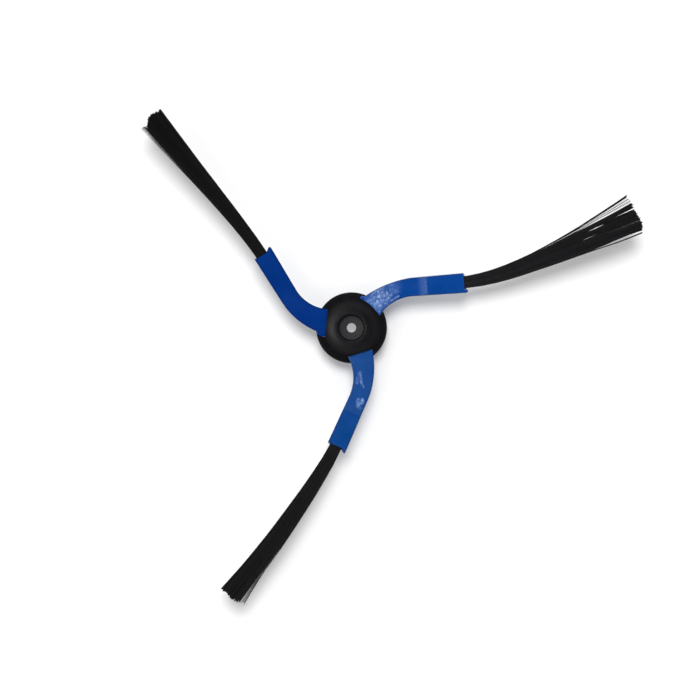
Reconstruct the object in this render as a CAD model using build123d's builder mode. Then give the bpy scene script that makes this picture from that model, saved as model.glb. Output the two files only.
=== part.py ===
"""Side brush of a robot vacuum: a moulded hub, three soft moulded arms and three nylon tufts.

The brush lies on its drive collar, with the side that faces the floor in use turned up.
Lengths are in millimetres and angles in degrees. The origin is on the hub's axis, in the
plane of the collar's end, and +Z points to the screw's side.
"""

import os
from collections import namedtuple
from math import radians, sqrt

from build123d import *

# Hub: a domed disc on a drive collar
hub_diameter = 22.0
rim_height = 2.4
rim_rounding = 0.5
rim_chamfer = 0.3
dome_height = 3.6
crown_diameter = 9.4
collar_diameter = 11.0
collar_height = 4.2
collar_chamfer = 0.4

# Drive socket in the collar, screw hole and screw recess in the crown
drive_square = 5.4
drive_corner = 0.6
drive_depth = 6.2
screw_hole_diameter = 3.0
screw_recess_diameter = 7.8
screw_recess_depth = 1.8
screw_recess_rounding = 0.3

# Recesses that core out the disc's underside between the arms
core_width = 2.2
core_depth = 2.2
core_sweep = 26.0

# Arms: a root pad in a notch of the hub, then a bend that narrows, then a straight tail
arm_thickness = 3.0
arm_level = 6.2
arm_rise = 4.0
arm_rounding = 0.5
pad_width = 8.6
pad_depth = 2.7
pad_offset = 0.6
notch_fit = 0.05
root_width = 7.1
bend_setback = 2.2
bend_length = 14.3
tail_width = 5.8
tail_length = 16.2

# Key under each root pad, which locks it in the notch's floor
key_length = 4.6
key_width = 1.4

# Tufts: bristles welded together at the root, held in a socket and fanned towards the tips
bristle_diameter = 0.35
bristle_gap = 0.06
bristle_sides = 4
tuft_columns = 8
tuft_rows = 5
tuft_length = 57.8
tuft_lead = 0.5
tuft_runs = 4
height_fan = 1.8
trim_scatter = 1.6
trim_steps = 5
trim_stride = 3
weld_length = 3.0
weld_margin = 0.1
socket_depth = 11.0
socket_fit = 0.05

# How each arm lies. The arms are alike as moulded, and each has taken a set of its own.
# Turns are about the arm's normal. A tuft sits beside the middle of its arm by its shift and is
# longer than the rest by its extra. Its fan is the width at the tip over that at the root, and
# its splay adds to the fan of the outermost bristles.
ArmPose = namedtuple("ArmPose", "name azimuth arm_turn tuft_turn shift extra fan splay")
poses = [
    ArmPose("right", 48.0, -44.0, 21.5, 0.4, 1.2, 2.8, 0.9),
    ArmPose("left", 168.0, -45.5, 7.6, 0.4, -3.3, 2.2, 0.0),
    ArmPose("lower", 288.0, -42.0, -14.2, -0.3, 0.3, 2.2, 0.0),
]

hub_radius = hub_diameter / 2
collar_radius = collar_diameter / 2
crown_radius = crown_diameter / 2
rim_top = collar_height + rim_height
crown_top = rim_top + dome_height
core_radius = (collar_radius + hub_radius) / 2
pad_inner = hub_radius - pad_depth
pad_middle = hub_radius - pad_depth / 2
bend_start = hub_radius - bend_setback
bristle_pitch = bristle_diameter + bristle_gap
tuft_width = (tuft_columns - 0.5) * bristle_pitch + bristle_diameter
tuft_height = (tuft_rows - 1) * bristle_pitch * sqrt(3) / 2 + bristle_diameter
weld_width = tuft_width + 2 * weld_margin
weld_height = tuft_height + 2 * weld_margin
weld_corner = bristle_diameter / 2 + weld_margin


def arm_plane(pose):
    """Middle plane of an arm: X runs out from the hub's axis and climbs by the rise."""
    return Plane(Pos(0, 0, arm_level) * Rot(0, 0, pose.azimuth) * Rot(0, -arm_rise, 0))


def notch_floor(pose):
    """Plane on which an arm's root pad sits."""
    return arm_plane(pose).offset(-arm_thickness / 2)


def key_plane(pose):
    """Plane of the disc's underside, turned to the arm's azimuth, where the key ends."""
    return Plane(Pos(0, 0, collar_height) * Rot(0, 0, pose.azimuth))


def tail_start(pose):
    """End of an arm's bend in the arm's plane, with X along the tail."""
    with BuildLine() as bend:
        JernArc((bend_start, 0), (1, 0), bend_length / radians(abs(pose.arm_turn)), pose.arm_turn)
    return Pos(bend.line @ 1) * Rot(0, 0, pose.arm_turn)


def arm_end(pose):
    """Plane where a tuft leaves its arm: X points out along it, Y across it, Z along the arm's normal."""
    return Plane(arm_plane(pose).location * tail_start(pose) * Pos(tail_length, pose.shift, 0))


def socket_floor(pose):
    """Plane of the bottom of a tuft's socket, facing out of the arm."""
    end = arm_end(pose)
    return Plane(end.origin - socket_depth * end.x_dir, x_dir=end.y_dir, z_dir=end.x_dir)


def tuft_stations(pose):
    """Places along a tuft's middle, seen from the arm's end: it bends as a cantilever does
    whose load fades away towards the tip."""
    run = (tuft_length + pose.extra - tuft_lead) / tuft_runs
    station = Pos(tuft_lead, 0, 0)
    stations = [(0, station)]
    slope = 0
    for step in range(1, tuft_runs + 1):
        share = step / tuft_runs
        next_slope = pose.tuft_turn * (1 - (1 - share) ** 4)
        half_turn = Rot(0, 0, (next_slope - slope) / 2)
        station = station * half_turn * Pos(run, 0, 0) * half_turn
        stations.append((share, station))
        slope = next_slope
    return stations


def bristle_points(pose, across, up, trim):
    """Bends of one bristle, seen from the arm's end: out of the weld, then along the fanned tuft."""
    outward = abs(across) / (tuft_width / 2)
    points = [Vector(weld_length / 2 - socket_depth, across, up)]
    for share, station in tuft_stations(pose):
        spread = 1 + share * (pose.fan - 1 + pose.splay * outward**2)
        lift = 1 + share * (height_fan - 1)
        points.append((station * Pos(-trim * share, across * spread, up * lift)).position)
    return points


def make_bristle(pose, across, up, trim):
    """One bristle of a tuft: straight runs, with every section parallel to the arm's end."""
    end = arm_end(pose)
    points = [end.from_local_coords(point) for point in bristle_points(pose, across, up, trim)]
    with BuildPart() as bristle:
        for near, far in zip(points, points[1:]):
            with BuildSketch(Plane(near, x_dir=end.y_dir, z_dir=end.x_dir)):
                RegularPolygon(bristle_diameter / 2, bristle_sides)
            extrude(amount=(far - near).length, dir=far - near)
    return bristle.part


os.makedirs("parts", exist_ok=True)

# Hub: one revolved form, with its recesses and the arms' notches cut into it
with BuildPart() as hub:
    with BuildSketch(Plane.XZ) as section:
        with BuildLine():
            dome = TangentArc((crown_radius, crown_top), (hub_radius, rim_top), tangent=(1, 0))
            Polyline(
                dome @ 1,
                (hub_radius, collar_height),
                (collar_radius, collar_height),
                (collar_radius, 0),
                (0, 0),
                (0, crown_top),
                dome @ 0,
            )
        make_face()
        fillet(section.vertices().sort_by_distance((hub_radius, rim_top))[0], rim_rounding)
        chamfer(section.vertices().sort_by_distance((hub_radius, collar_height))[0], rim_chamfer)
        chamfer(section.vertices().sort_by_distance((collar_radius, 0))[0], collar_chamfer)
    revolve(axis=Axis.Z)

    with Locations((0, 0, crown_top)):
        CounterBoreHole(screw_hole_diameter / 2, screw_recess_diameter / 2, screw_recess_depth)
    crown_rings = hub.edges().filter_by(GeomType.CIRCLE).group_by(Axis.Z)[-1]
    fillet(crown_rings.sort_by(SortBy.RADIUS)[0], screw_recess_rounding)

    with BuildSketch(Plane.XY):
        RectangleRounded(drive_square, drive_square, drive_corner)
    extrude(amount=drive_depth, mode=Mode.SUBTRACT)

    with BuildSketch(Plane.XY.offset(collar_height)):
        with BuildLine(mode=Mode.PRIVATE) as core_line:
            CenterArc((0, 0), core_radius, -core_sweep / 2, core_sweep)
        with PolarLocations(0, len(poses), start_angle=poses[0].azimuth + 180 / len(poses)):
            SlotArc(core_line.edge(), core_width)
    extrude(amount=core_depth, mode=Mode.SUBTRACT)

    for pose in poses:
        with BuildSketch(notch_floor(pose)):
            with Locations((pad_inner, pad_offset)):
                Rectangle(hub_radius, pad_width, align=(Align.MIN, Align.CENTER))
        extrude(amount=crown_top, mode=Mode.SUBTRACT)
        with BuildSketch(key_plane(pose)):
            with Locations((pad_middle, pad_offset)):
                SlotOverall(key_length + 2 * notch_fit, key_width + 2 * notch_fit, rotation=90)
        extrude(amount=arm_level - collar_height, mode=Mode.SUBTRACT)

hub.part.label = "hub"
export_step(hub.part, "parts/hub.step")

for pose in poses:
    tail = tail_start(pose)

    with BuildPart() as arm:
        with BuildSketch(arm_plane(pose)):
            with BuildLine():
                outer = Spline(
                    (bend_start, root_width / 2),
                    (tail * Pos(0, tail_width / 2, 0)).position,
                    tangents=[(1, 0), tail.x_axis.direction],
                )
                inner = Spline(
                    (bend_start, -root_width / 2),
                    (tail * Pos(0, -tail_width / 2, 0)).position,
                    tangents=[(1, 0), tail.x_axis.direction],
                )
                Line(outer @ 0, inner @ 0)
                Polyline(
                    outer @ 1,
                    (tail * Pos(tail_length, tail_width / 2, 0)).position,
                    (tail * Pos(tail_length, -tail_width / 2, 0)).position,
                    inner @ 1,
                )
            make_face()
        extrude(amount=arm_thickness / 2, both=True)
        faces = arm.faces().sort_by(Axis((0, 0, 0), arm_plane(pose).z_dir))
        fillet(faces[0].edges() + faces[-1].edges(), arm_rounding)

        with BuildSketch(notch_floor(pose)):
            with Locations((pad_inner + notch_fit, pad_offset)):
                Rectangle(hub_radius, pad_width - 2 * notch_fit, align=(Align.MIN, Align.CENTER))
            Circle(hub_radius, mode=Mode.INTERSECT)
        extrude(amount=arm_thickness)

        with BuildSketch(key_plane(pose)):
            with Locations((pad_middle, pad_offset)):
                SlotOverall(key_length, key_width, rotation=90)
        extrude(amount=arm_level - collar_height)

        with BuildSketch(socket_floor(pose)):
            RectangleRounded(
                weld_width + 2 * socket_fit,
                weld_height + 2 * socket_fit,
                weld_corner + socket_fit,
            )
        extrude(amount=2 * socket_depth, mode=Mode.SUBTRACT)

    arm.part.label = f"{pose.name}_arm"
    export_step(arm.part, f"parts/{pose.name}_arm.step")

    bristles = []
    for index, spot in enumerate(HexLocations(bristle_pitch / 2, tuft_rows, tuft_columns)):
        trim = trim_scatter * (index * trim_stride % trim_steps) / (trim_steps - 1)
        bristles.append(make_bristle(pose, spot.position.Y, spot.position.X, trim))

    with BuildPart() as tuft:
        with BuildSketch(socket_floor(pose)):
            RectangleRounded(weld_width, weld_height, weld_corner)
        extrude(amount=weld_length)
        add(bristles)

    tuft.part.label = f"{pose.name}_bristles"
    export_step(tuft.part, f"parts/{pose.name}_bristles.step")
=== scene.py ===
# %% [markdown]
# # Side brush of a robot vacuum
# The brush is a black moulded hub, three soft blue arms and three tufts of black nylon. The CAD
# model fixes the sizes and places, and the looks keep close to them. This lesson gives each piece
# the surface that it shows up close: a smooth satin dome, soft arms that have creased, and loose
# filaments. The frame is loaded first.

# %% Load the frame
import random
from collections import namedtuple
from math import atan2, cos, exp, pi, radians, sin, sqrt

import bmesh
import bpy
from mathutils import Matrix, Vector, noise


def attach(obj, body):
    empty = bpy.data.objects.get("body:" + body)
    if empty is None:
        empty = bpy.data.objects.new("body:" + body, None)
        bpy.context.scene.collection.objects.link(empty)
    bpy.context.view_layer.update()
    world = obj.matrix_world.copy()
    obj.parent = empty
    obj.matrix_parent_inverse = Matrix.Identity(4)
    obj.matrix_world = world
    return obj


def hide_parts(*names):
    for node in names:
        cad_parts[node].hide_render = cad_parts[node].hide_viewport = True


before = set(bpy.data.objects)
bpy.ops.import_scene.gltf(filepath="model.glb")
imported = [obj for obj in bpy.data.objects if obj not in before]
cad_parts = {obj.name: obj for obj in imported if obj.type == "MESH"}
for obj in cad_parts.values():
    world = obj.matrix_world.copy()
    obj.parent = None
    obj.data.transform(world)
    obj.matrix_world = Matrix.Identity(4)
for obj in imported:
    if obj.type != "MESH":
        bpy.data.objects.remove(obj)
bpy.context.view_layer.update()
print("CAD nodes:", ", ".join(sorted(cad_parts)))

# %% [markdown]
# ## Picking by place
# An edit-mode operator works on whatever is selected. By hand one clicks. In a script the clicks
# become a test on the middle and the direction of each vertex, edge or face, which keeps working
# when a size changes. Four small helpers start a piece, pick, extrude and apply a modifier. Points
# nearer to each other than a hundredth of a millimetre count as one place.

# %% Helpers for modelling
MM = 0.001
same_place = 0.01 * MM


def start_piece(name, add_primitive, **options):
    """Adds a primitive with nothing else selected and opens it in edit mode."""
    bpy.ops.object.select_all(action="DESELECT")
    add_primitive(**options)
    piece = bpy.context.object
    piece.name = name
    piece.data.name = name
    bpy.ops.object.mode_set(mode="EDIT")
    return piece


def pick(kind, test):
    """Selects the vertices, edges or faces of the open mesh whose middle and direction pass a test."""
    bpy.ops.mesh.select_mode(type=kind)
    bpy.ops.mesh.select_all(action="DESELECT")
    mesh = bpy.context.object.data
    grid = bmesh.from_edit_mesh(mesh)
    grid.normal_update()
    if kind == "VERT":
        found = [vertex for vertex in grid.verts if test(vertex.co, vertex.normal)]
    elif kind == "EDGE":
        ends = [(edge, edge.verts[0].co, edge.verts[1].co) for edge in grid.edges]
        found = [edge for edge, near, far in ends if test((near + far) / 2, (far - near).normalized())]
    else:
        found = [face for face in grid.faces if test(face.calc_center_median(), face.normal)]
    for item in found:
        item.select_set(True)
    grid.select_flush_mode()
    bmesh.update_edit_mesh(mesh)


def finish_with(piece, kind, **settings):
    """Adds a modifier to a piece, sets it and applies it."""
    bpy.ops.object.select_all(action="DESELECT")
    bpy.context.view_layer.objects.active = piece
    piece.select_set(True)
    modifier = piece.modifiers.new(kind.lower(), kind)
    for name, value in settings.items():
        setattr(modifier, name, value)
    bpy.ops.object.modifier_apply(modifier=modifier.name)


def extrude_by(step):
    """Extrudes the selection and moves the new part by a step."""
    bpy.ops.mesh.extrude_region_move(TRANSFORM_OT_translate={"value": tuple(step)})


print("Helpers ready, lengths in metres with MM =", MM)

# %% [markdown]
# ## How the arms lie
# All arms are one moulding, but each has taken its own set on the machine, so the bend of the arm
# and of its tuft differ a little, and the soft skin has slipped by a fraction of a millimetre. An
# arm's frame stands on the hub's axis, turned to the arm's azimuth and tipped up by the rise. A
# second frame stands at the arm's end, where the tuft comes out, with X pointing out along the tail.
# Turns are in degrees, and a tuft sits beside the middle of its arm by its shift.

# %% Frames of the arms
ArmLie = namedtuple("ArmLie", "name azimuth arm_turn tail_length tuft_turn shift tuft_length slip")
lies = [
    ArmLie("right", 48.0, -43.6, 16.55 * MM, 20.2, 0.3 * MM, 58.25 * MM, (0.25 * MM, 0.05 * MM)),
    ArmLie("left", 167.9, -46.2, 14.9 * MM, 8.4, 0.2 * MM, 55.0 * MM, (0.28 * MM, 0.2 * MM)),
    ArmLie("lower", 288.0, -42.0, 16.05 * MM, -14.2, -0.4 * MM, 58.15 * MM, (0.12 * MM, 0.0)),
]
arm_level = 6.2 * MM
arm_rise = 4.0
bend_start = 8.8 * MM
bend_length = 14.3 * MM


def arm_frame(lie):
    """Middle plane of an arm, with X out from the hub's axis."""
    turned = Matrix.Rotation(radians(lie.azimuth), 4, "Z") @ Matrix.Rotation(radians(-arm_rise), 4, "Y")
    return Matrix.Translation((0, 0, arm_level)) @ turned


def skin_frame(lie):
    """The arm's frame, moved by the slip of its skin."""
    return Matrix.Translation((*lie.slip, 0)) @ arm_frame(lie)


def end_in_arm(lie):
    """The arm's end seen from the arm's frame: along the bend, then along the tail."""
    turn = radians(lie.arm_turn)
    radius = bend_length / turn
    bend_end = Matrix.Translation((bend_start + radius * sin(turn), radius * (1 - cos(turn)), 0))
    return bend_end @ Matrix.Rotation(turn, 4, "Z") @ Matrix.Translation((lie.tail_length, 0, 0))


for lie in lies:
    end_point = (arm_frame(lie) @ end_in_arm(lie)).translation / MM
    print(lie.name, "arm ends at", [round(length, 1) for length in end_point], "mm")

# %% [markdown]
# ## Finishes
# Each finish is a Principled shader with its own noise. Object coordinates are metres here, so a
# noise scale of 1000 gives marks about a millimetre apart. The helper makes the shader, a noise
# that mixes two close colours and makes the gloss uneven, and a finer noise for a bump. A noise
# keeps mostly to the middle of its range, so that part is spread over the whole ramp.

# %% A finish from noise
noise_low, noise_high = 0.3, 0.7


def mottled(name, dark, light, mottle_scale, roughness, specular, grain_scale, grain_depth):
    """A material with mottled colour, uneven roughness and fine grain."""
    material = bpy.data.materials.new(name)
    material.use_nodes = True
    nodes, links = material.node_tree.nodes, material.node_tree.links
    shader = nodes["Principled BSDF"]
    shader.inputs["Specular IOR Level"].default_value = specular
    place = nodes.new("ShaderNodeTexCoord")

    mottle = nodes.new("ShaderNodeTexNoise")
    mottle.inputs["Scale"].default_value = mottle_scale
    mottle.inputs["Detail"].default_value = 4
    colours = nodes.new("ShaderNodeValToRGB")
    colours.color_ramp.elements[0].position = noise_low
    colours.color_ramp.elements[0].color = (*dark, 1)
    colours.color_ramp.elements[1].position = noise_high
    colours.color_ramp.elements[1].color = (*light, 1)
    links.new(place.outputs["Object"], mottle.inputs["Vector"])
    links.new(mottle.outputs["Fac"], colours.inputs["Fac"])
    links.new(colours.outputs["Color"], shader.inputs["Base Color"])

    gloss = nodes.new("ShaderNodeMapRange")
    gloss.inputs["From Min"].default_value = noise_low
    gloss.inputs["From Max"].default_value = noise_high
    gloss.inputs["To Min"].default_value = roughness[0]
    gloss.inputs["To Max"].default_value = roughness[1]
    links.new(mottle.outputs["Fac"], gloss.inputs["Value"])
    links.new(gloss.outputs["Result"], shader.inputs["Roughness"])

    grain = nodes.new("ShaderNodeTexNoise")
    grain.inputs["Scale"].default_value = grain_scale
    grain.inputs["Detail"].default_value = 3
    bump = nodes.new("ShaderNodeBump")
    bump.inputs["Distance"].default_value = grain_depth
    bump.inputs["Strength"].default_value = 1
    links.new(place.outputs["Object"], grain.inputs["Vector"])
    links.new(grain.outputs["Fac"], bump.inputs["Height"])
    links.new(bump.outputs["Normal"], shader.inputs["Normal"])
    return material


print("Finish helper ready, noise spread from", noise_low, "to", noise_high)

# %% [markdown]
# The hub is a stiff black plastic with a fine spark-eroded grain. Its top is rubbed to a soft
# sheen and its flank is dull, so the gloss fades with the distance from the axis. The floor of the
# recess is coarser, and its paler colour is a painted sheen. The arms are a soft blue elastomer,
# smoother and glossier. Where an arm has been bent hard its skin has creased, and there a painted
# highlight makes it pale: an attribute says how much, a noise breaks it up, and a bump gives the
# creases depth. The bristles are drawn nylon, dark and dull as a bundle. A second attribute gives
# each filament its own tone, and each arm its own tone of painted light, with painted shade along
# its edges.

# %% Tone and creases from attributes
def toned(material):
    """Multiplies a mottled material's colour by the mesh's tone attribute, which holds painted light on
    the arms.
    """
    nodes, links = material.node_tree.nodes, material.node_tree.links
    tone_and_painted_light = nodes.new("ShaderNodeAttribute")
    tone_and_painted_light.attribute_name = "tone_and_painted_light"
    tint = nodes.new("ShaderNodeMix")
    tint.data_type = "RGBA"
    tint.blend_type = "MULTIPLY"
    tint.inputs["Factor"].default_value = 1
    links.new(nodes["Color Ramp"].outputs["Color"], tint.inputs["A"])
    links.new(tone_and_painted_light.outputs["Color"], tint.inputs["B"])
    links.new(tint.outputs["Result"], nodes["Principled BSDF"].inputs["Base Color"])


def creased_and_highlighted(material, pale, scale, unevenness, depth):
    """Paints a pale highlight on a toned material, crinkled by a bump, where the crease attribute isn't
    zero.
    """
    nodes, links = material.node_tree.nodes, material.node_tree.links
    crease_and_painted_highlight = nodes.new("ShaderNodeAttribute")
    crease_and_painted_highlight.attribute_name = "crease_and_painted_highlight"
    crumple = nodes.new("ShaderNodeTexNoise")
    crumple.inputs["Scale"].default_value = scale
    crumple.inputs["Detail"].default_value = 2
    broken = nodes.new("ShaderNodeMapRange")
    broken.inputs["From Min"].default_value = noise_low
    broken.inputs["From Max"].default_value = noise_high
    broken.inputs["To Min"].default_value = 1 - unevenness
    broken.inputs["To Max"].default_value = 1 + unevenness
    amount = nodes.new("ShaderNodeMath")
    amount.operation = "MULTIPLY"
    amount.use_clamp = True
    # Painted highlight: a pale colour mixed in by the crease amount.
    highlight_mix = nodes.new("ShaderNodeMix")
    highlight_mix.data_type = "RGBA"
    highlight_mix.inputs["B"].default_value = (*pale, 1)
    links.new(nodes["Texture Coordinate"].outputs["Object"], crumple.inputs["Vector"])
    links.new(crumple.outputs["Fac"], broken.inputs["Value"])
    links.new(broken.outputs["Result"], amount.inputs[0])
    links.new(crease_and_painted_highlight.outputs["Fac"], amount.inputs[1])
    links.new(amount.outputs[0], highlight_mix.inputs["Factor"])
    links.new(nodes["Mix"].outputs["Result"], highlight_mix.inputs["A"])
    links.new(highlight_mix.outputs["Result"], nodes["Principled BSDF"].inputs["Base Color"])
    fold = nodes.new("ShaderNodeBump")
    fold.inputs["Distance"].default_value = depth
    links.new(crumple.outputs["Fac"], fold.inputs["Height"])
    links.new(crease_and_painted_highlight.outputs["Fac"], fold.inputs["Strength"])
    links.new(nodes["Bump"].outputs["Normal"], fold.inputs["Normal"])
    links.new(fold.outputs["Normal"], nodes["Principled BSDF"].inputs["Normal"])


def duller_outside(material, near, far, dull):
    """Lets a material's gloss fade to a duller one between two distances from the Z axis."""
    nodes, links = material.node_tree.nodes, material.node_tree.links
    specular = nodes["Principled BSDF"].inputs["Specular IOR Level"]
    flat = nodes.new("ShaderNodeVectorMath")
    flat.operation = "MULTIPLY"
    flat.inputs[1].default_value = (1, 1, 0)
    radius = nodes.new("ShaderNodeVectorMath")
    radius.operation = "LENGTH"
    fade = nodes.new("ShaderNodeMapRange")
    fade.inputs["From Min"].default_value = near
    fade.inputs["From Max"].default_value = far
    fade.inputs["To Min"].default_value = specular.default_value
    fade.inputs["To Max"].default_value = dull
    links.new(nodes["Texture Coordinate"].outputs["Object"], flat.inputs[0])
    links.new(flat.outputs["Vector"], radius.inputs[0])
    links.new(radius.outputs["Value"], fade.inputs["Value"])
    links.new(fade.outputs["Result"], specular)


print("Attributes that the finishes read: shade, crease")

# %% The finishes
hub_plastic = mottled(
    "hub_plastic",
    dark=(0.0028, 0.0027, 0.0036),
    light=(0.0045, 0.0043, 0.0055),
    mottle_scale=420,
    roughness=(0.33, 0.41),
    specular=0.21,
    grain_scale=5200,
    grain_depth=0.005 * MM,
)
duller_outside(hub_plastic, near=7.2 * MM, far=10.2 * MM, dull=0.03)
# The recess floor's pale colour is a painted sheen; its coarse roughness and grain are its own.
hub_recess = mottled(
    "hub_recess_grain_and_painted_sheen",
    dark=(0.021, 0.021, 0.023),
    light=(0.030, 0.030, 0.032),
    mottle_scale=900,
    roughness=(0.60, 0.72),
    specular=0.30,
    grain_scale=6500,
    grain_depth=0.008 * MM,
)
arm_rubber = mottled(
    "arm_rubber",
    dark=(0.0006, 0.046, 0.245),
    light=(0.0010, 0.055, 0.285),
    mottle_scale=160,
    roughness=(0.11, 0.17),
    specular=0.50,
    grain_scale=1500,
    grain_depth=0.003 * MM,
)
toned(arm_rubber)
# The pale colour is a painted highlight on the creased skin.
creased_and_highlighted(arm_rubber, pale=(0.37, 0.57, 0.97), scale=2300, unevenness=0.5, depth=0.04 * MM)
bristle_nylon = mottled(
    "bristle_nylon",
    dark=(0.0066, 0.0064, 0.0073),
    light=(0.0116, 0.0112, 0.0126),
    mottle_scale=700,
    roughness=(0.45, 0.60),
    specular=0.16,
    grain_scale=4000,
    grain_depth=0.003 * MM,
)
toned(bristle_nylon)
for finish in (hub_plastic, hub_recess, arm_rubber, bristle_nylon):
    print("Finish", finish.name, "has", len(finish.node_tree.nodes), "nodes")

# %% [markdown]
# ## Hub
# The hub is one moulding: a low dome on a drive collar. A turner would draw half its section and
# spin it, and so does this cell. One vertex is extruded from corner to corner, the corners that
# are broken on the real part are bevelled while they are still single vertices, and the chain is
# spun round the axis. The dome is an arc that leaves the crown level.

# %% Hub: the half section
hub_radius = 11.1 * MM
rim_top = 6.6 * MM
crown_radius = 4.7 * MM
crown_top = 10.2 * MM
collar_radius = 5.5 * MM
collar_height = 4.2 * MM
hole_radius = 1.44 * MM
recess_radius = 4.05 * MM
recess_draft = 0.3 * MM
recess_floor = 8.4 * MM
dome_steps = 18
dome_reach, dome_drop = hub_radius - crown_radius, crown_top - rim_top
dome_radius = (dome_reach**2 + dome_drop**2) / (2 * dome_drop)
dome_sweep = atan2(dome_reach, dome_radius - dome_drop)

corners = [
    (hole_radius, 0),
    (collar_radius, 0),
    (collar_radius, collar_height),
    (hub_radius, collar_height),
]
for step in range(dome_steps, -1, -1):
    angle = dome_sweep * step / dome_steps
    corners.append((crown_radius + dome_radius * sin(angle), crown_top - dome_radius * (1 - cos(angle))))
corners += [
    (recess_radius, crown_top),
    (recess_radius - recess_draft, recess_floor),
    (hole_radius, recess_floor),
]

hub = start_piece("hub_dome", bpy.ops.mesh.primitive_plane_add, size=MM)
bpy.ops.mesh.merge(type="CENTER")
section = [Vector((radius, 0, height)) for radius, height in corners]
bpy.ops.transform.translate(value=section[0])
for here, there in zip(section, section[1:]):
    extrude_by(there - here)
chain_ends = section[0], section[-1]
pick("VERT", lambda point, normal: min((point - end).length for end in chain_ends) < same_place)
bpy.ops.mesh.edge_face_add()
print("Section has", len(corners), "corners, dome radius", round(dome_radius / MM, 2), "mm")

# %% Hub: broken corners, then the spin
hub_steps = 144
broken_corners = [
    ((hub_radius, rim_top), 0.30 * MM, 4),
    ((hub_radius, collar_height), 0.30 * MM, 1),
    ((collar_radius, 0), 0.40 * MM, 1),
    ((recess_radius, crown_top), 0.30 * MM, 4),
]
for (radius, height), width, segments in broken_corners:
    corner = Vector((radius, 0, height))
    pick("VERT", lambda point, normal: (point - corner).length < same_place)
    bpy.ops.mesh.bevel(offset=width, segments=segments, affect="VERTICES")
bpy.ops.mesh.select_all(action="SELECT")
bpy.ops.mesh.spin(steps=hub_steps, angle=2 * pi, center=(0, 0, 0), axis=(0, 0, 1))
bpy.ops.mesh.select_all(action="SELECT")
bpy.ops.mesh.remove_doubles(threshold=0.001 * MM)
bpy.ops.mesh.normals_make_consistent(inside=False)
bpy.ops.object.mode_set(mode="OBJECT")
print("Hub spun:", len(hub.data.polygons), "faces")

# %% [markdown]
# What isn't round is cut out with Boolean modifiers, as a mould's inserts would leave it: the
# square drive socket, the three notches for the arms, a slot for each arm's key and three cored
# recesses in the underside. The cutters are blocks. Those for the socket and the slots have their
# upright edges bevelled round. The inner face of a notch's block is turned, and on one arm bowed,
# just as the edge of the pad that sits there is.

# %% Hub: cutters
drive_half = 2.7 * MM
drive_depth = 6.2 * MM
drive_corner = 0.6 * MM
pad_inner = 8.3 * MM
pad_side = 3.95 * MM
pad_tab = {"right": 4.6 * MM, "left": 4.85 * MM, "lower": 4.0 * MM}
pad_turn = {"right": radians(-1.5), "left": radians(6.8), "lower": radians(-1.0)}
pad_bow = {"right": 0.55 * MM, "left": 0.0, "lower": 0.0}
bow_reach = 3.7 * MM
bow_cuts = 4
arm_thickness = 3.0 * MM
key_fit = 0.05 * MM
key_size = (1.4 * MM, 4.6 * MM)
key_place = (9.65 * MM, 0.6 * MM, 0)


def bow_out(middle, step):
    """Moves the vertices above and below a point and draws their neighbours along."""
    pick("VERT", lambda point, normal: (point - middle).xy.length < same_place)
    bpy.ops.transform.translate(
        value=step,
        use_proportional_edit=True,
        proportional_edit_falloff="SPHERE",
        proportional_size=bow_reach,
    )


def block(name, low, high, place=Matrix(), upright_rounding=0.0, inner_turn=0.0, inner_bow=0.0):
    """A block between two corners, its upright edges rounded or its inner face turned and bowed."""
    piece = start_piece(name, bpy.ops.mesh.primitive_cube_add, size=1)
    low, high = Vector(low), Vector(high)
    bpy.ops.transform.resize(value=high - low)
    bpy.ops.transform.translate(value=(low + high) / 2)
    if upright_rounding:
        pick("EDGE", lambda middle, way: abs(way.z) > 0.99)
        bpy.ops.mesh.bevel(offset=upright_rounding, segments=6, affect="EDGES")
    if inner_turn:
        pick("FACE", lambda middle, normal: normal.x < -0.99)
        bpy.ops.transform.rotate(value=-inner_turn, orient_axis="Z", center_override=(low.x, 0, 0))
    if inner_bow:
        for cut in range(-bow_cuts, bow_cuts + 1):
            bpy.ops.mesh.select_all(action="SELECT")
            bpy.ops.mesh.bisect(plane_co=(0, cut * bow_reach / (bow_cuts + 1), 0), plane_no=(0, 1, 0))
        bow_out(Vector((low.x, 0, 0)), (inner_bow, 0, 0))
    bpy.ops.object.mode_set(mode="OBJECT")
    piece.matrix_world = place
    bpy.ops.object.transform_apply()
    return piece


def key_block(name, lie, bottom, top, fit):
    """The key under an arm's root pad, or with a fit the slot that it locks into."""
    half_x, half_y = key_size[0] / 2 + fit, key_size[1] / 2 + fit
    turned = Matrix.Rotation(radians(lie.azimuth), 4, "Z") @ Matrix.Translation(key_place)
    rounding = half_x - 2 * same_place
    return block(name, (-half_x, -half_y, bottom), (half_x, half_y, top), turned, rounding)


low = (-drive_half, -drive_half, -MM)
high = (drive_half, drive_half, drive_depth)
cutters = [block("socket_cutter", low, high, upright_rounding=drive_corner)]
for lie in lies:
    low = (pad_inner, -pad_side, -arm_thickness / 2)
    high = (2 * hub_radius, pad_tab[lie.name], 2 * crown_top)
    turn, bow = pad_turn[lie.name], pad_bow[lie.name]
    notch = block(f"{lie.name}_notch_cutter", low, high, skin_frame(lie), inner_turn=turn, inner_bow=bow)
    cutters.append(notch)
    cutters.append(key_block(f"{lie.name}_slot_cutter", lie, collar_height - MM, arm_level, key_fit))
print("Cutters:", len(cutters))
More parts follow.
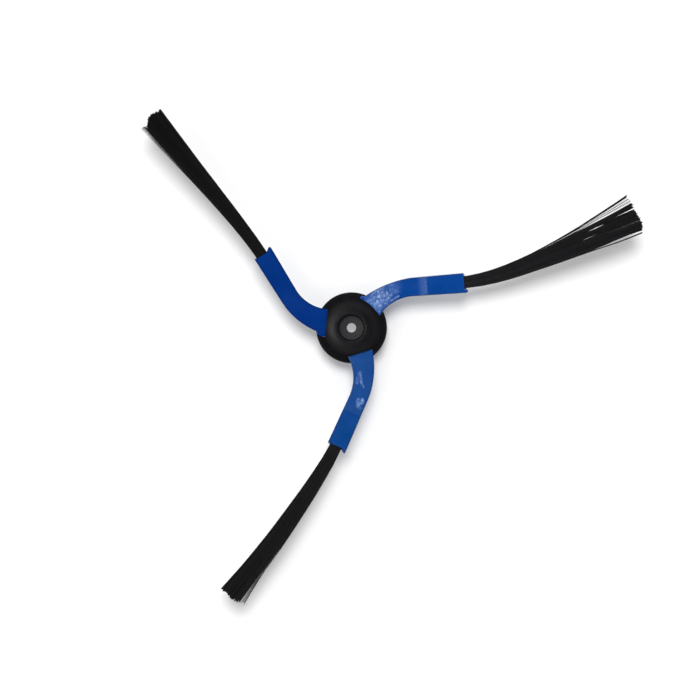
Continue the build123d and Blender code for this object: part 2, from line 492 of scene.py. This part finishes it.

# %% [markdown]
# A cored recess keeps the wall even, so that the moulding cools without sink marks. Its cutter is
# a small upright rectangle, spun about the hub's axis half way between two arms. After the cuts a
# narrow bevel breaks the sharp edges, and the floor of the screw's recess on top gets its own
# finish, coarser and paler by a painted sheen.

# %% Hub: cored recesses, cut and smoothed
core_sweep = radians(40)
core_width = 2.2 * MM
core_depth = 2.2 * MM
core_middle = (collar_radius + hub_radius) / 2
half_way = 180 / len(lies)
hub_edge = 0.08 * MM
sharp_edges = {"limit_method": "ANGLE", "angle_limit": radians(50)}
for lie in lies:
    core = start_piece(f"{lie.name}_core_cutter", bpy.ops.mesh.primitive_plane_add, size=core_width)
    bpy.ops.transform.rotate(value=pi / 2, orient_axis="X", center_override=(0, 0, 0))
    bpy.ops.transform.resize(value=(1, 1, 2 * core_depth / core_width), center_override=(0, 0, 0))
    bpy.ops.transform.translate(value=(core_middle, 0, collar_height))
    bpy.ops.mesh.spin(steps=16, angle=core_sweep, center=(0, 0, 0), axis=(0, 0, 1))
    bpy.ops.mesh.select_all(action="SELECT")
    bpy.ops.mesh.normals_make_consistent(inside=False)
    bpy.ops.object.mode_set(mode="OBJECT")
    core.rotation_euler.z = radians(lie.azimuth + half_way) - core_sweep / 2
    bpy.ops.object.transform_apply()
    cutters.append(core)
for cutter in cutters:
    finish_with(hub, "BOOLEAN", operation="DIFFERENCE", solver="EXACT", object=cutter)
    bpy.data.objects.remove(cutter)
finish_with(hub, "BEVEL", width=hub_edge, segments=2, **sharp_edges)
bpy.ops.object.shade_smooth_by_angle(angle=radians(35))
hub.data.materials.append(hub_plastic)
hub.data.materials.append(hub_recess)
bpy.ops.object.mode_set(mode="EDIT")
pick("FACE", lambda middle, normal: normal.z > 0.9 and middle.xy.length < recess_radius
     and abs(middle.z - recess_floor) < 0.1 * MM)
hub.active_material_index = 1
bpy.ops.object.material_slot_assign()
bpy.ops.object.mode_set(mode="OBJECT")
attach(hub, "root")
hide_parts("hub")
print("Hub finished:", len(hub.data.polygons), "faces")

# %% [markdown]
# ## Arms
# An arm is a soft strip. It could be a curve with a bevel profile, but the end needs an open
# socket and the root a pad that is wider than the strip, so it is extruded as by hand. It starts
# at the tail's end, where everything is square to the axes, and its inner edge is extruded
# backwards station by station: narrowed to a waist, then turned and widened round the bend. On one
# arm the outside of the bend has been pinched.

# %% Arms: the flat strip
end_width = 6.25 * MM
waist_width = 5.8 * MM
root_width = 7.75 * MM
flare = 1.7
strip_columns = 10
tail_steps = 16
bend_steps = 20
bend_step = bend_length / bend_steps
pinch = {"right": 0.42 * MM, "left": 0.0, "lower": 0.0}


def arm_width(lie, back):
    """Width of an arm at a distance back from its end, past the waist to the root."""
    if back < lie.tail_length:
        return end_width + (waist_width - end_width) * max(back, 0) / lie.tail_length
    share = min((back - lie.tail_length) / bend_length, 1)
    return waist_width + (root_width - waist_width) * share**flare


def pinched(lie, share):
    """How much narrower an arm is on the outside of its bend, at a share of the bend."""
    return pinch[lie.name] * sin(pi * min(max(share, 0), 1))


def flat_strip(lie):
    """The arm's middle surface in the frame of its end, open in edit mode, root last."""
    tail_step = lie.tail_length / tail_steps
    strip = start_piece(f"{lie.name}_arm_skin", bpy.ops.mesh.primitive_plane_add, size=1)
    bpy.ops.transform.resize(value=(tail_step, end_width, 1))
    bpy.ops.transform.translate(value=(-tail_step / 2, 0, 0))
    pick("EDGE", lambda middle, way: abs(way.y) > 0.9)
    bpy.ops.mesh.subdivide(number_cuts=strip_columns - 1)
    pick("EDGE", lambda middle, way: abs(way.y) > 0.9 and middle.x < -0.9 * tail_step)
    width = end_width
    for step in range(1, tail_steps + 1):
        if step > 1:
            extrude_by((-tail_step, 0, 0))
        next_width = arm_width(lie, step * tail_step)
        bpy.ops.transform.resize(value=(1, next_width / width, 1), center_override=(0, 0, 0))
        width = next_width

    here = row = Vector((-lie.tail_length, 0, 0))
    turn = -radians(lie.arm_turn) / bend_steps
    for step in range(1, bend_steps + 1):
        heading = turn * (step - 0.5)
        here = here - bend_step * Vector((cos(heading), sin(heading), 0))
        outward = Vector((-sin(turn * step), cos(turn * step), 0))
        narrower = pinched(lie, step / bend_steps)
        next_row = here - narrower / 2 * outward
        extrude_by(next_row - row)
        row = next_row
        bpy.ops.transform.rotate(value=-turn, orient_axis="Z", center_override=row)
        next_width = arm_width(lie, lie.tail_length + step * bend_step) - narrower
        bpy.ops.transform.resize(value=(next_width / width, next_width / width, 1), center_override=row)
        width = next_width
    to_root = Matrix.Rotation(-radians(lie.arm_turn), 3, "Z") @ Vector((1, 0, 0))
    into_pad = (pad_inner + key_fit - bend_start) * to_root
    extrude_by(into_pad)
    bpy.ops.transform.rotate(value=-pad_turn[lie.name], orient_axis="Z", center_override=here + into_pad)
    if pad_bow[lie.name]:
        bow_out(here + into_pad, pad_bow[lie.name] * to_root)
    return strip


print("Arm widths:", *(round(width / MM, 2) for width in (end_width, waist_width, root_width)), "mm")

# %% [markdown]
# The pad reaches further on the side that the arm bends away from, so the edges next to the root
# are pulled out there. Solidify makes the strip a slab and a bevel rounds its edges. Then the
# end's faces are inset, drawn in to the size of the tuft's socket and pushed into the tail, and
# the whole end is leaned back a little, as the end of the moulding is. Beside the tuft, on the
# side that it leaves free, a small lip of the mould stands out.

# %% Arms: pad, thickness and socket
edge_rounding = 0.3 * MM
socket_width = 3.95 * MM
socket_height = 2.15 * MM
socket_shown = 3.5 * MM
inset_step = 0.06 * MM
tab_reach = {"right": 9.5 * MM, "left": 10.95 * MM, "lower": 9.5 * MM}
tab_side = 0.87 * root_width / 2
end_lean = radians(12)
lip_reach, lip_start = 0.8 * MM, 2.2 * MM


def pull_out_pad(lie):
    """Extrudes the root's edges to the pad's full width."""
    to_arm = end_in_arm(lie)
    pick("EDGE", lambda middle, way: (to_arm @ middle).y > tab_side
         and (to_arm @ middle).x < tab_reach[lie.name]
         and abs((to_arm.to_3x3() @ way).x) > 0.9)
    across = Matrix.Rotation(pad_turn[lie.name] - radians(lie.arm_turn), 3, "Z") @ Vector((0, 1, 0))
    extrude_by((pad_tab[lie.name] - key_fit - root_width / 2) * across)


def open_socket(lie):
    """Insets the end's faces of the active arm to the socket's mouth and pushes them in."""
    bpy.ops.object.mode_set(mode="EDIT")
    pick("FACE", lambda middle, normal: normal.x > 0.99 and middle.x > -same_place)
    bpy.ops.transform.rotate(value=end_lean, orient_axis="Y", center_override=(0, 0, 0))
    bpy.ops.mesh.inset(thickness=inset_step)
    edge = 2 * (edge_rounding + inset_step)
    narrow = (1, socket_width / (end_width - edge), socket_height / (arm_thickness - edge))
    bpy.ops.transform.resize(value=narrow, center_override=(0, 0, 0))
    bpy.ops.transform.translate(value=(0, lie.shift, 0))
    extrude_by((-socket_shown, 0, 0))
    free_side = -1 if lie.shift > 0 else 1
    pick("VERT", lambda point, normal: point.x > -2 * edge_rounding and free_side * point.y > lip_start)
    bpy.ops.transform.translate(value=(lip_reach, 0, 0))
    bpy.ops.object.mode_set(mode="OBJECT")


print("Sockets:", round(socket_width / MM, 2), "by", round(socket_height / MM, 2), "mm")

# %% [markdown]
# The elastomer isn't flat. Over the tuft's root the tail swells a hair, and where the arm has been
# bent to and fro its skin has creased. The creases are real relief, about a tenth of a millimetre,
# so that they break up the gloss from any side, and hard turbulence gives their form. Along them,
# and along the swell's edge, a painted highlight makes the skin pale. Each arm says where it has
# creases: a line from one place to another, given as distances back from the arm's end and across
# it, with a width, how strong the painted highlight is along it and how deep the crease is. These
# lengths are in millimetres.

# %% Arms: creases in the skin
Crease = namedtuple("Crease", "back across to_back to_across width pale depth")
creases = {
    "right": [
        Crease(30.6, -0.2, 26.2, -0.2, 2.9, 0.29, 0.10),
        Crease(25.5, 0.3, 22.4, 0.9, 2.5, 0.15, 0.05),
        Crease(28.5, 2.5, 26.6, 2.55, 0.45, 0.38, 0.06),
        Crease(26.2, 1.0, 28.6, -1.8, 0.60, 0.40, 0.06),
        Crease(26.1, -1.1, 23.2, -0.75, 0.50, 0.34, 0.06),
        Crease(24.1, -2.4, 21.3, -2.0, 0.32, 0.38, 0.05),
        Crease(26.8, 2.55, 24.4, 2.4, 0.30, 0.30, 0.05),
        Crease(28.8, 1.7, 30.0, -1.4, 0.55, 0.33, 0.05),
    ],
    "left": [Crease(19.0, 0.0, 15.5, 0.0, 2.6, 0.004, 0.010)],
    "lower": [
        Crease(24.2, -1.5, 23.0, -1.9, 0.45, 0.10, 0.04),
        Crease(23.0, -1.9, 20.9, -1.7, 0.50, 0.14, 0.04),
        Crease(24.7, -1.05, 21.5, -0.6, 0.42, 0.25, 0.06),
        Crease(21.5, -0.6, 20.1, 0.45, 0.36, 0.24, 0.06),
        Crease(15.8, 0.15, 13.9, 0.9, 0.60, 0.27, 0.05),
        Crease(16.3, 1.3, 15.4, 1.55, 0.60, 0.33, 0.05),
        Crease(14.8, 1.15, 13.7, 1.8, 0.45, 0.14, 0.04),
    ],
}
swell_edge, swell_foot = 11.4 * MM, 14.3 * MM
swell = {"right": 0.10 * MM, "left": 0.03 * MM, "lower": 0.04 * MM}
# The swell's edge gets a painted highlight, strongest at its edge and gone at its foot.
swell_painted_highlight = {"right": (0.085, 0.0), "left": (0.0, 0.0), "lower": (0.022, 0.014)}
swell_ramp = 1.5
crumple_size = 1.3
crumple_contrast = 1.5
upper_skin, flat_skin = 0.3, 0.97


def along_arm(point, lie):
    """Distance back from the arm's end and across the arm of a point in the end's frame."""
    if point.x > -lie.tail_length:
        return -point.x, point.y
    radius = bend_length / radians(abs(lie.arm_turn))
    out = Vector((point.x + lie.tail_length, point.y + radius))
    return lie.tail_length + radius * atan2(-out.x, out.y), out.length - radius


def near_crease(spot, crease_and_painted_highlight):
    """One on a crease's line, falling to nothing beyond its width."""
    start, end = Vector((crease_and_painted_highlight.back, crease_and_painted_highlight.across)), Vector((crease_and_painted_highlight.to_back, crease_and_painted_highlight.to_across))
    share = min(max((spot - start).dot(end - start) / (end - start).length_squared, 0), 1)
    away = (spot - start.lerp(end, share)).length / crease_and_painted_highlight.width
    return exp(-(away**4))


def crease_skin(arm, lie):
    """Moves the upper skin by the swelling and the creases, and writes how much painted highlight lies on
    it.
    """
    amounts = arm.data.attributes.new("crease_and_painted_highlight", "FLOAT", "POINT").data
    for vertex in arm.data.vertices:
        upward = vertex.normal.z
        if upward < upper_skin:
            continue
        back, across = along_arm(vertex.co, lie)
        share = min(max((swell_foot - back) / (swell_foot - swell_edge), 0), 1)
        lift = swell[lie.name] * share
        # Painted highlight on the swell's edge.
        at_edge, at_foot = swell_painted_highlight[lie.name]
        amount = at_foot + (at_edge - at_foot) * min(swell_ramp * share, 1) if share < 1 else 0
        spot = Vector((back, across)) / MM
        crumple = noise.turbulence((spot.x / crumple_size, spot.y / crumple_size, 3), 3, True) - 0.5
        for crease_and_painted_highlight in creases[lie.name]:
            near = near_crease(spot, crease_and_painted_highlight)
            lift += crease_and_painted_highlight.depth * crumple * near * MM
            # Painted highlight along each crease, broken up by the crumple noise.
            amount = max(amount, crease_and_painted_highlight.pale * near * (1 + crumple_contrast * crumple))
        vertex.co.z += lift * upward
        amounts[vertex.index].value = amount if upward > flat_skin else 0


print("Creases:", {name: len(lines) for name, lines in creases.items()})

# %% [markdown]
# Each arm gets its own tone of painted light, for the light falls on the three at their own angles.
# Along an arm's edges, where the skin curves away, a fine line of painted shade is dimmer. Both go
# into one colour attribute, vertex by vertex, which is the simplest way to paint along a bent strip.
# Each arm is then made in full: strip, pad, thickness, socket and creases, laid in its place, with
# the key that locks it joined on below.

# %% Arms: all three
# Painted light: each arm's colour is scaled for the light that falls on it.
painted_light_per_arm = {"right": (0.8, 1.0, 1.0), "left": (0.9, 0.57, 0.73), "lower": (3.0, 1.0, 0.86)}
# Painted shade: a dimmer line along each arm's edges.
edge_painted_shade, edge_line = 0.45, 0.55 * MM
line_upward, line_stop = 0.2, 0.93


def paint_light_on_skin(arm, lie):
    """Writes the arm's tone of painted light, with painted shade in a line along its curved edges."""
    from_end = (skin_frame(lie) @ end_in_arm(lie)).inverted()
    shades = arm.data.attributes.new("tone_and_painted_light", "FLOAT_COLOR", "POINT").data
    for vertex in arm.data.vertices:
        back, across = along_arm(from_end @ vertex.co, lie)
        share = max((back - lie.tail_length) / bend_length, 0)
        inside = arm_width(lie, back) / 2 - abs(across) - (pinched(lie, share) if across > 0 else 0)
        dim = 1
        if share < line_stop and vertex.normal.z > line_upward and inside < edge_line:
            dim = 1 - edge_painted_shade * (1 - max(inside, 0) / edge_line)
        shades[vertex.index].color = (*(dim * tone for tone in painted_light_per_arm[lie.name]), 1)


for lie in lies:
    arm = flat_strip(lie)
    pull_out_pad(lie)
    bpy.ops.mesh.select_all(action="SELECT")
    bpy.ops.mesh.normals_make_consistent(inside=False)
    bpy.ops.object.mode_set(mode="OBJECT")
    finish_with(arm, "SOLIDIFY", thickness=arm_thickness, offset=0)
    finish_with(arm, "BEVEL", width=edge_rounding, segments=3, **sharp_edges)
    open_socket(lie)
    finish_with(arm, "SUBSURF", subdivision_type="SIMPLE", levels=2, render_levels=2)
    crease_skin(arm, lie)
    arm.matrix_world = skin_frame(lie) @ end_in_arm(lie)
    bpy.ops.object.transform_apply()
    key = key_block(f"{lie.name}_key", lie, collar_height, arm_level, 0)
    key.select_set(True)
    arm.select_set(True)
    bpy.context.view_layer.objects.active = arm
    bpy.ops.object.join()
    bpy.ops.object.shade_smooth_by_angle(angle=radians(40))
    paint_light_on_skin(arm, lie)
    arm.data.materials.clear()
    arm.data.materials.append(arm_rubber)
    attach(arm, "root")
    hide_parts(f"{lie.name}_arm")
    print(arm.name, len(arm.data.polygons), "faces")

# %% [markdown]
# ## Tufts
# A tuft is about a hundred and fifty nylon filaments, packed in the socket and fanned out towards
# the tip. One filament is modelled once, a thin prism cut into short lengths, and copied. Each
# copy is laid along the tuft's own bend, that of a cantilever whose load fades towards the tip.

# %% Tufts: one filament
filament_diameter = 0.26 * MM
filament_sides = 5
filament_cuts = 13
filament = start_piece(
    "filament",
    bpy.ops.mesh.primitive_cylinder_add,
    vertices=filament_sides,
    radius=filament_diameter / 2,
    depth=1,
    end_fill_type="NGON",
)
bpy.ops.transform.rotate(value=pi / 2, orient_axis="Y", center_override=(0, 0, 0))
bpy.ops.transform.translate(value=(0.5, 0, 0))
pick("EDGE", lambda middle, way: abs(way.x) > 0.9)
bpy.ops.mesh.subdivide(number_cuts=filament_cuts)
bpy.ops.object.mode_set(mode="OBJECT")
print("One filament:", len(filament.data.polygons), "faces")

# %% [markdown]
# The filaments keep their order from the socket to the tip, between the two edges of the tuft,
# which were measured at every fifth of its length. They gather in locks: a dense body, and beside
# it loose locks and a few strays, some of them worn thin. Every lock says how many filaments it
# has, from which share of the length they leave the fan, how far the first and the last of them
# have opened from it at the tip, and how thick they still are. Each filament is cut on the
# tuft's own cut line, a little shorter or longer than its neighbours, by a seeded draw. A parting
# is a gap between two places of the length, where neighbours have drawn aside. Lengths are in
# millimetres here, and a filament's place runs from 0 at one edge of the tuft to 1 at the other.

# %% Tufts: edges, locks and cut lines
edges = {
    "right": [(-1.85, 1.72), (-2.10, 2.30), (-2.52, 3.05), (-3.42, 4.15), (-4.32, 4.60), (-4.85, 4.50)],
    "left": [(-1.85, 1.75), (-1.72, 2.25), (-1.88, 2.87), (-2.25, 3.45), (-2.90, 3.97), (-3.60, 4.35)],
    "lower": [(-1.78, 1.90), (-2.42, 2.10), (-2.60, 2.77), (-2.53, 3.57), (-2.75, 3.90), (-3.50, 4.35)],
}
Lock = namedtuple("Lock", "count leaves opening to_opening gauge")
locks = {
    "right": [
        Lock(5, 0.70, -0.15, -0.05, 0.75),
        Lock(8, 0.88, -0.30, -0.30, 1),
        Lock(106, 1, 0, 0, 1),
        Lock(17, 0.73, 0.60, 1.15, 1),
        Lock(8, 0.59, 1.30, 2.80, 0.42),
        Lock(6, 0.56, 2.95, 3.15, 1),
    ],
    "left": [Lock(147, 1, 0, 0, 1), Lock(3, 0.35, 0.45, 0.75, 0.32)],
    "lower": [Lock(139, 1, 0, 0, 1), Lock(11, 0.72, 0.10, 1.30, 0.42)],
}
cut_lines = {
    "right": [(0, 57.2), (0.15, 58.0), (0.5, 58.2), (0.8, 57.7), (0.84, 58.1), (0.96, 57.4), (1, 57.5)],
    "left": [(0, 54.9), (0.25, 55.0), (0.44, 55.6), (0.62, 55.1), (0.74, 54.4), (0.80, 53.4),
             (0.9, 53.7), (1, 53.9)],
    "lower": [(0, 56.9), (0.29, 56.9), (0.58, 57.4), (0.81, 57.1), (0.92, 56.4), (1, 56.4)],
}
Parting = namedtuple("Parting", "place start end width")
partings = {
    "right": [
        Parting(0.737, 0.70, 0.83, 0.40),
        Parting(0.512, 0.655, 0.80, 0.45),
        Parting(0.0333, 0.72, 1.12, 0.80),
    ],
    "left": [],
    "lower": [],
}
print({name: sum(lock.count for lock in rows) for name, rows in locks.items()}, "filaments")

# %% Tufts: where the filaments run
pack_columns, pack_rows = 15, 10
pack_pitch = 0.245 * MM
height_fan = 1.7
path_steps = 60
load_fade = 4
parting_reach = 1.2 * MM


def packed_heights():
    """Heights of the filaments in the socket, staggered by rows, in order across the tuft."""
    roots = []
    for row in range(pack_rows):
        for column in range(pack_columns):
            across = (column + (0.5 if row % 2 else 0)) * pack_pitch
            up = (row - (pack_rows - 1) / 2) * pack_pitch * sqrt(3) / 2
            roots.append((across, up))
    return [up for across, up in sorted(roots)]


def in_locks(name):
    """The lock of every filament, in order, with the filament's own opening."""
    found = []
    for lock in locks[name]:
        for index in range(lock.count):
            share = (index + 0.5) / lock.count
            found.append((lock, (lock.opening + (lock.to_opening - lock.opening) * share) * MM))
    return found


def between(table, place):
    """Value at a place in a table of places and values, on the straight line between two rows."""
    for (near, start), (far, end) in zip(table, table[1:]):
        if place <= far:
            break
    return start + (end - start) * (place - near) / (far - near)


def tuft_slope(lie, share):
    """Slope of the tuft's middle at a share of its length."""
    return radians(lie.tuft_turn) * (1 - (1 - share) ** load_fade)


def bent_line(lie):
    """Points and slopes along the tuft's middle, from the socket to the tip."""
    step = lie.tuft_length / path_steps
    here, line = Vector((0, lie.shift, 0)), []
    for index in range(path_steps + 1):
        line.append((here.copy(), tuft_slope(lie, index / path_steps)))
        heading = tuft_slope(lie, (index + 0.5) / path_steps)
        here = here + step * Vector((cos(heading), sin(heading), 0))
    return line


def on_line(line, share, length):
    """Point on the line at a share of its length, and the way across it there."""
    spot = min(max(share, 0), 1) * path_steps
    index = min(int(spot), path_steps - 1)
    point = line[index][0].lerp(line[index + 1][0], spot - index)
    slope = line[index][1] + (line[index + 1][1] - line[index][1]) * (spot - index)
    along = Vector((cos(slope), sin(slope), 0))
    beyond = min(share, 0) + max(share - 1, 0)
    return point + beyond * length * along, Vector((-sin(slope), cos(slope), 0))


def fan(name, place, share):
    """Where a filament lies across the tuft: its place is 0 at one edge and 1 at the other."""
    station = min(max(share, 0), 1) * (len(edges[name]) - 1)
    low, high = (between(list(enumerate(edge)), station) * MM for edge in zip(*edges[name]))
    across = low + (high - low) * place
    for parting in partings[name]:
        inside = (share - parting.start) / (parting.end - parting.start)
        if 0 < inside < 1:
            side = 1 if place > parting.place else -1
            near = exp(-(((high - low) * (place - parting.place) / parting_reach) ** 2))
            across += side * near * parting.width / 2 * MM * sin(pi * inside)
    return across


print("Socket holds", len(packed_heights()), "filaments in", pack_rows, "rows")

# %% [markdown]
# A filament's own random part is small: it ends a little to the side of its place, wanders on the
# way, and is cut by up to 0.15 mm shorter or longer. Neighbours are cut alike, as they were by one
# stroke, so the cut also follows a noise across the tip, which gives it its teeth. A lock opens
# more the nearer it is to its tip.

# %% Tufts: laying the filaments
draw = random.Random(7)
root_inside = 3.0 * MM
wander = 0.055 * MM
rise_scatter = 0.26 * MM
sway_range, sway_waves = (0.3, 1.0), 5
trim_own, trim_shared = 0.3 * MM, 1.0 * MM
teeth, teeth_row = 21, 11
lock_curl = 1.6
tuft_tone = {"right": 1.25, "left": 0.5, "lower": 1.0}
tone_range = (0.7, 1.35)


def lay(mesh, lie, line, up_at_root, place, lock, opening):
    """Lays one filament's mesh along the tuft, from inside the socket to its own cut end."""
    drift, rise = draw.gauss(0, wander), draw.gauss(0, rise_scatter)
    phase, sway = draw.uniform(0, 2 * pi), draw.uniform(*sway_range) * wander
    shared = noise.noise((teeth * place, teeth_row + lie.azimuth, 0))
    end = between(cut_lines[lie.name], place) * MM
    end += trim_own / 2 - draw.uniform(0, trim_own) - trim_shared * shared
    for vertex in mesh.vertices:
        run = -root_inside + (end + root_inside) * vertex.co.x
        share = max(run, 0) / lie.tuft_length
        point, across = on_line(line, run / lie.tuft_length, lie.tuft_length)
        side = fan(lie.name, place, share) + share * (drift + sway * sin(phase + sway_waves * share))
        if share > lock.leaves and opening:
            side += opening * ((share - lock.leaves) / (1 - lock.leaves)) ** lock_curl
        up = up_at_root * (1 + (height_fan - 1) * share) + rise * share
        thin = 1 + (lock.gauge - 1) * min(share / lock.leaves, 1)
        vertex.co = point + (side + thin * vertex.co.y) * across + Vector((0, 0, up + thin * vertex.co.z))
    tone = tuft_tone[lie.name] * draw.uniform(*tone_range)
    for item in mesh.attributes.new("tone_and_painted_light", "FLOAT_COLOR", "POINT").data:
        item.color = (tone, tone, tone, 1)


for lie in lies:
    line = bent_line(lie)
    strands = []
    for index, (up, (lock, opening)) in enumerate(zip(packed_heights(), in_locks(lie.name), strict=True)):
        strand = filament.copy()
        strand.data = filament.data.copy()
        bpy.context.collection.objects.link(strand)
        lay(strand.data, lie, line, up, (index + 0.5) / (pack_columns * pack_rows), lock, opening)
        strands.append(strand)
    bpy.ops.object.select_all(action="DESELECT")
    for strand in strands:
        strand.select_set(True)
    tuft = strands[0]
    bpy.context.view_layer.objects.active = tuft
    bpy.ops.object.join()
    tuft.name = f"{lie.name}_tuft"
    tuft.data.name = tuft.name
    tuft.matrix_world = arm_frame(lie) @ end_in_arm(lie)
    bpy.ops.object.transform_apply()
    bpy.ops.object.shade_smooth_by_angle(angle=radians(80))
    tuft.data.materials.clear()
    tuft.data.materials.append(bristle_nylon)
    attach(tuft, "root")
    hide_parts(f"{lie.name}_bristles")
    print(tuft.name, len(strands), "filaments,", len(tuft.data.polygons), "faces")
bpy.data.objects.remove(filament)

# %% [markdown]
# ## Stage
# The brush lies on a white table, seen from straight above. The floor is a pale matt sheet that
# takes the shadow, with a little glow of its own where the camera or a reflection looks at it, so
# that it is white without more light on the brush. Under the hub the glow is stronger: painted
# light, which only shows in the hub's hole.

# %% Stage: the floor
floor_size = 30
floor_albedo = 0.88
floor_glow = 0.11
# Painted light: the stronger glow under the hub, seen only through its hole.
painted_hole_light = 0.42
painted_light_start, painted_light_end = collar_radius, 1.2 * collar_radius


def clamped_sum(nodes):
    """A node that adds two values and keeps the sum between 0 and 1."""
    adder = nodes.new("ShaderNodeMath")
    adder.operation = "ADD"
    adder.use_clamp = True
    return adder


def glowing_paper():
    """Matt white paper, with a glow that shows to the camera and in reflections, and painted light under
    the hub.
    """
    paper = bpy.data.materials.new("floor_paper")
    paper.use_nodes = True
    nodes, links = paper.node_tree.nodes, paper.node_tree.links
    nodes.clear()
    matt = nodes.new("ShaderNodeBsdfDiffuse")
    matt.inputs["Color"].default_value = (floor_albedo, floor_albedo, floor_albedo, 1)
    glow = nodes.new("ShaderNodeEmission")

    ray = nodes.new("ShaderNodeLightPath")
    straight, any_view = clamped_sum(nodes), clamped_sum(nodes)
    links.new(ray.outputs["Is Camera Ray"], straight.inputs[0])
    links.new(ray.outputs["Is Glossy Ray"], straight.inputs[1])
    links.new(straight.outputs[0], any_view.inputs[0])
    links.new(ray.outputs["Is Transmission Ray"], any_view.inputs[1])

    place = nodes.new("ShaderNodeTexCoord")
    from_axis = nodes.new("ShaderNodeVectorMath")
    from_axis.operation = "LENGTH"
    painted_light_fade = nodes.new("ShaderNodeMapRange")
    painted_light_fade.inputs["From Min"].default_value = painted_light_start
    painted_light_fade.inputs["From Max"].default_value = painted_light_end
    painted_light_fade.inputs["To Min"].default_value = painted_hole_light
    painted_light_fade.inputs["To Max"].default_value = floor_glow
    links.new(place.outputs["Object"], from_axis.inputs[0])
    links.new(from_axis.outputs["Value"], painted_light_fade.inputs["Value"])

    strength = nodes.new("ShaderNodeMath")
    strength.operation = "MULTIPLY"
    both = nodes.new("ShaderNodeAddShader")
    surface = nodes.new("ShaderNodeOutputMaterial")
    links.new(any_view.outputs[0], strength.inputs[0])
    links.new(painted_light_fade.outputs["Result"], strength.inputs[1])
    links.new(strength.outputs[0], glow.inputs["Strength"])
    links.new(matt.outputs[0], both.inputs[0])
    links.new(glow.outputs[0], both.inputs[1])
    links.new(both.outputs[0], surface.inputs["Surface"])
    return paper


bpy.ops.object.select_all(action="DESELECT")
bpy.ops.mesh.primitive_plane_add(size=floor_size)
floor = bpy.context.object
floor.name = "floor"
floor.data.materials.append(glowing_paper())
print("Floor laid, albedo", floor_albedo)

# %% [markdown]
# The light is a tent: bright from half way up, dark overhead where the camera looks in, so that
# flat glossy tops don't turn grey, and dark at the bottom, so that edges stay crisp. Its left is
# the brighter side. A wide soft sun from beyond the top of the picture gives the shadow its
# direction. It is hidden from reflections, and a card on the left, nearly overhead, shows in
# reflections only: the dome mirrors it.

# %% Stage: the tent
tent_levels = [(0.20, 0.10), (0.52, 0.80), (0.86, 0.80), (0.95, 0.02)]
tent_axis = (0.105, -0.03, 0.994)
tent_lean = (-0.42, 0.16, 0)


def along_axis(nodes, axis):
    """A node that measures how far a direction points along an axis."""
    measure = nodes.new("ShaderNodeVectorMath")
    measure.operation = "DOT_PRODUCT"
    measure.inputs[1].default_value = axis
    return measure


def light_tent():
    """A world that is bright at some heights only and brighter on one side."""
    tent = bpy.data.worlds.new("light_tent")
    tent.use_nodes = True
    nodes, links = tent.node_tree.nodes, tent.node_tree.links
    way = nodes.new("ShaderNodeTexCoord")
    height, lean = along_axis(nodes, tent_axis), along_axis(nodes, tent_lean)
    ramp = nodes.new("ShaderNodeValToRGB")
    stops = ramp.color_ramp.elements
    for index, (place, level) in enumerate(tent_levels):
        stop = stops[index] if index < 2 else stops.new(place)
        stop.position = place
        stop.color = (level, level, level, 1)
    brighter = nodes.new("ShaderNodeMath")
    brighter.operation = "ADD"
    brighter.inputs[1].default_value = 1
    links.new(way.outputs["Generated"], height.inputs[0])
    links.new(height.outputs["Value"], ramp.inputs["Fac"])
    links.new(ramp.outputs["Color"], nodes["Background"].inputs["Color"])
    links.new(way.outputs["Generated"], lean.inputs[0])
    links.new(lean.outputs["Value"], brighter.inputs[0])
    links.new(brighter.outputs[0], nodes["Background"].inputs["Strength"])
    return tent


bpy.context.scene.world = light_tent()
print("Tent brightest at heights", tent_levels[1][0], "to", tent_levels[2][0])

# %% Stage: sun and card
sun_tilt = 22


def far_light(name, location, rotation, level, width):
    """A sun, so far away that only its direction matters, as wide as an angle."""
    bpy.ops.object.light_add(type="SUN", location=location, rotation=rotation)
    light = bpy.context.object
    light.name = name
    light.data.energy = level
    light.data.angle = radians(width)
    return light


sun = far_light("soft_sun", (0, 0.4, 1), (-radians(sun_tilt), 0, 0), level=2.03, width=26)
sun.visible_glossy = False
card = far_light("reflected_card", (-0.4, 0, 1), (0, -radians(sun_tilt), 0), level=0.72, width=24)
card.visible_diffuse = False
print("Sun and card tilted", sun_tilt, "degrees")

# %% [markdown]
# ## Camera
# The hub's hole shows no wall on any side, so the camera looks straight down. The picture is 700
# pixels wide, at 0.3125 mm to the pixel, and the hub's axis is a little above its middle.

# %% Camera
pixel = 0.3125 * MM
picture_width = 700 * pixel
camera_height = 0.75
hub_right, hub_up = 1.5, 22.2
bpy.ops.object.camera_add(location=(-hub_right * pixel, -hub_up * pixel, arm_level + camera_height))
camera = bpy.context.object
camera.data.sensor_width = 36
camera.data.lens = camera.data.sensor_width * camera_height / picture_width
bpy.context.scene.camera = camera
bpy.context.scene.view_settings.view_transform = "Standard"
print("Lens", round(camera.data.lens, 1), "mm")
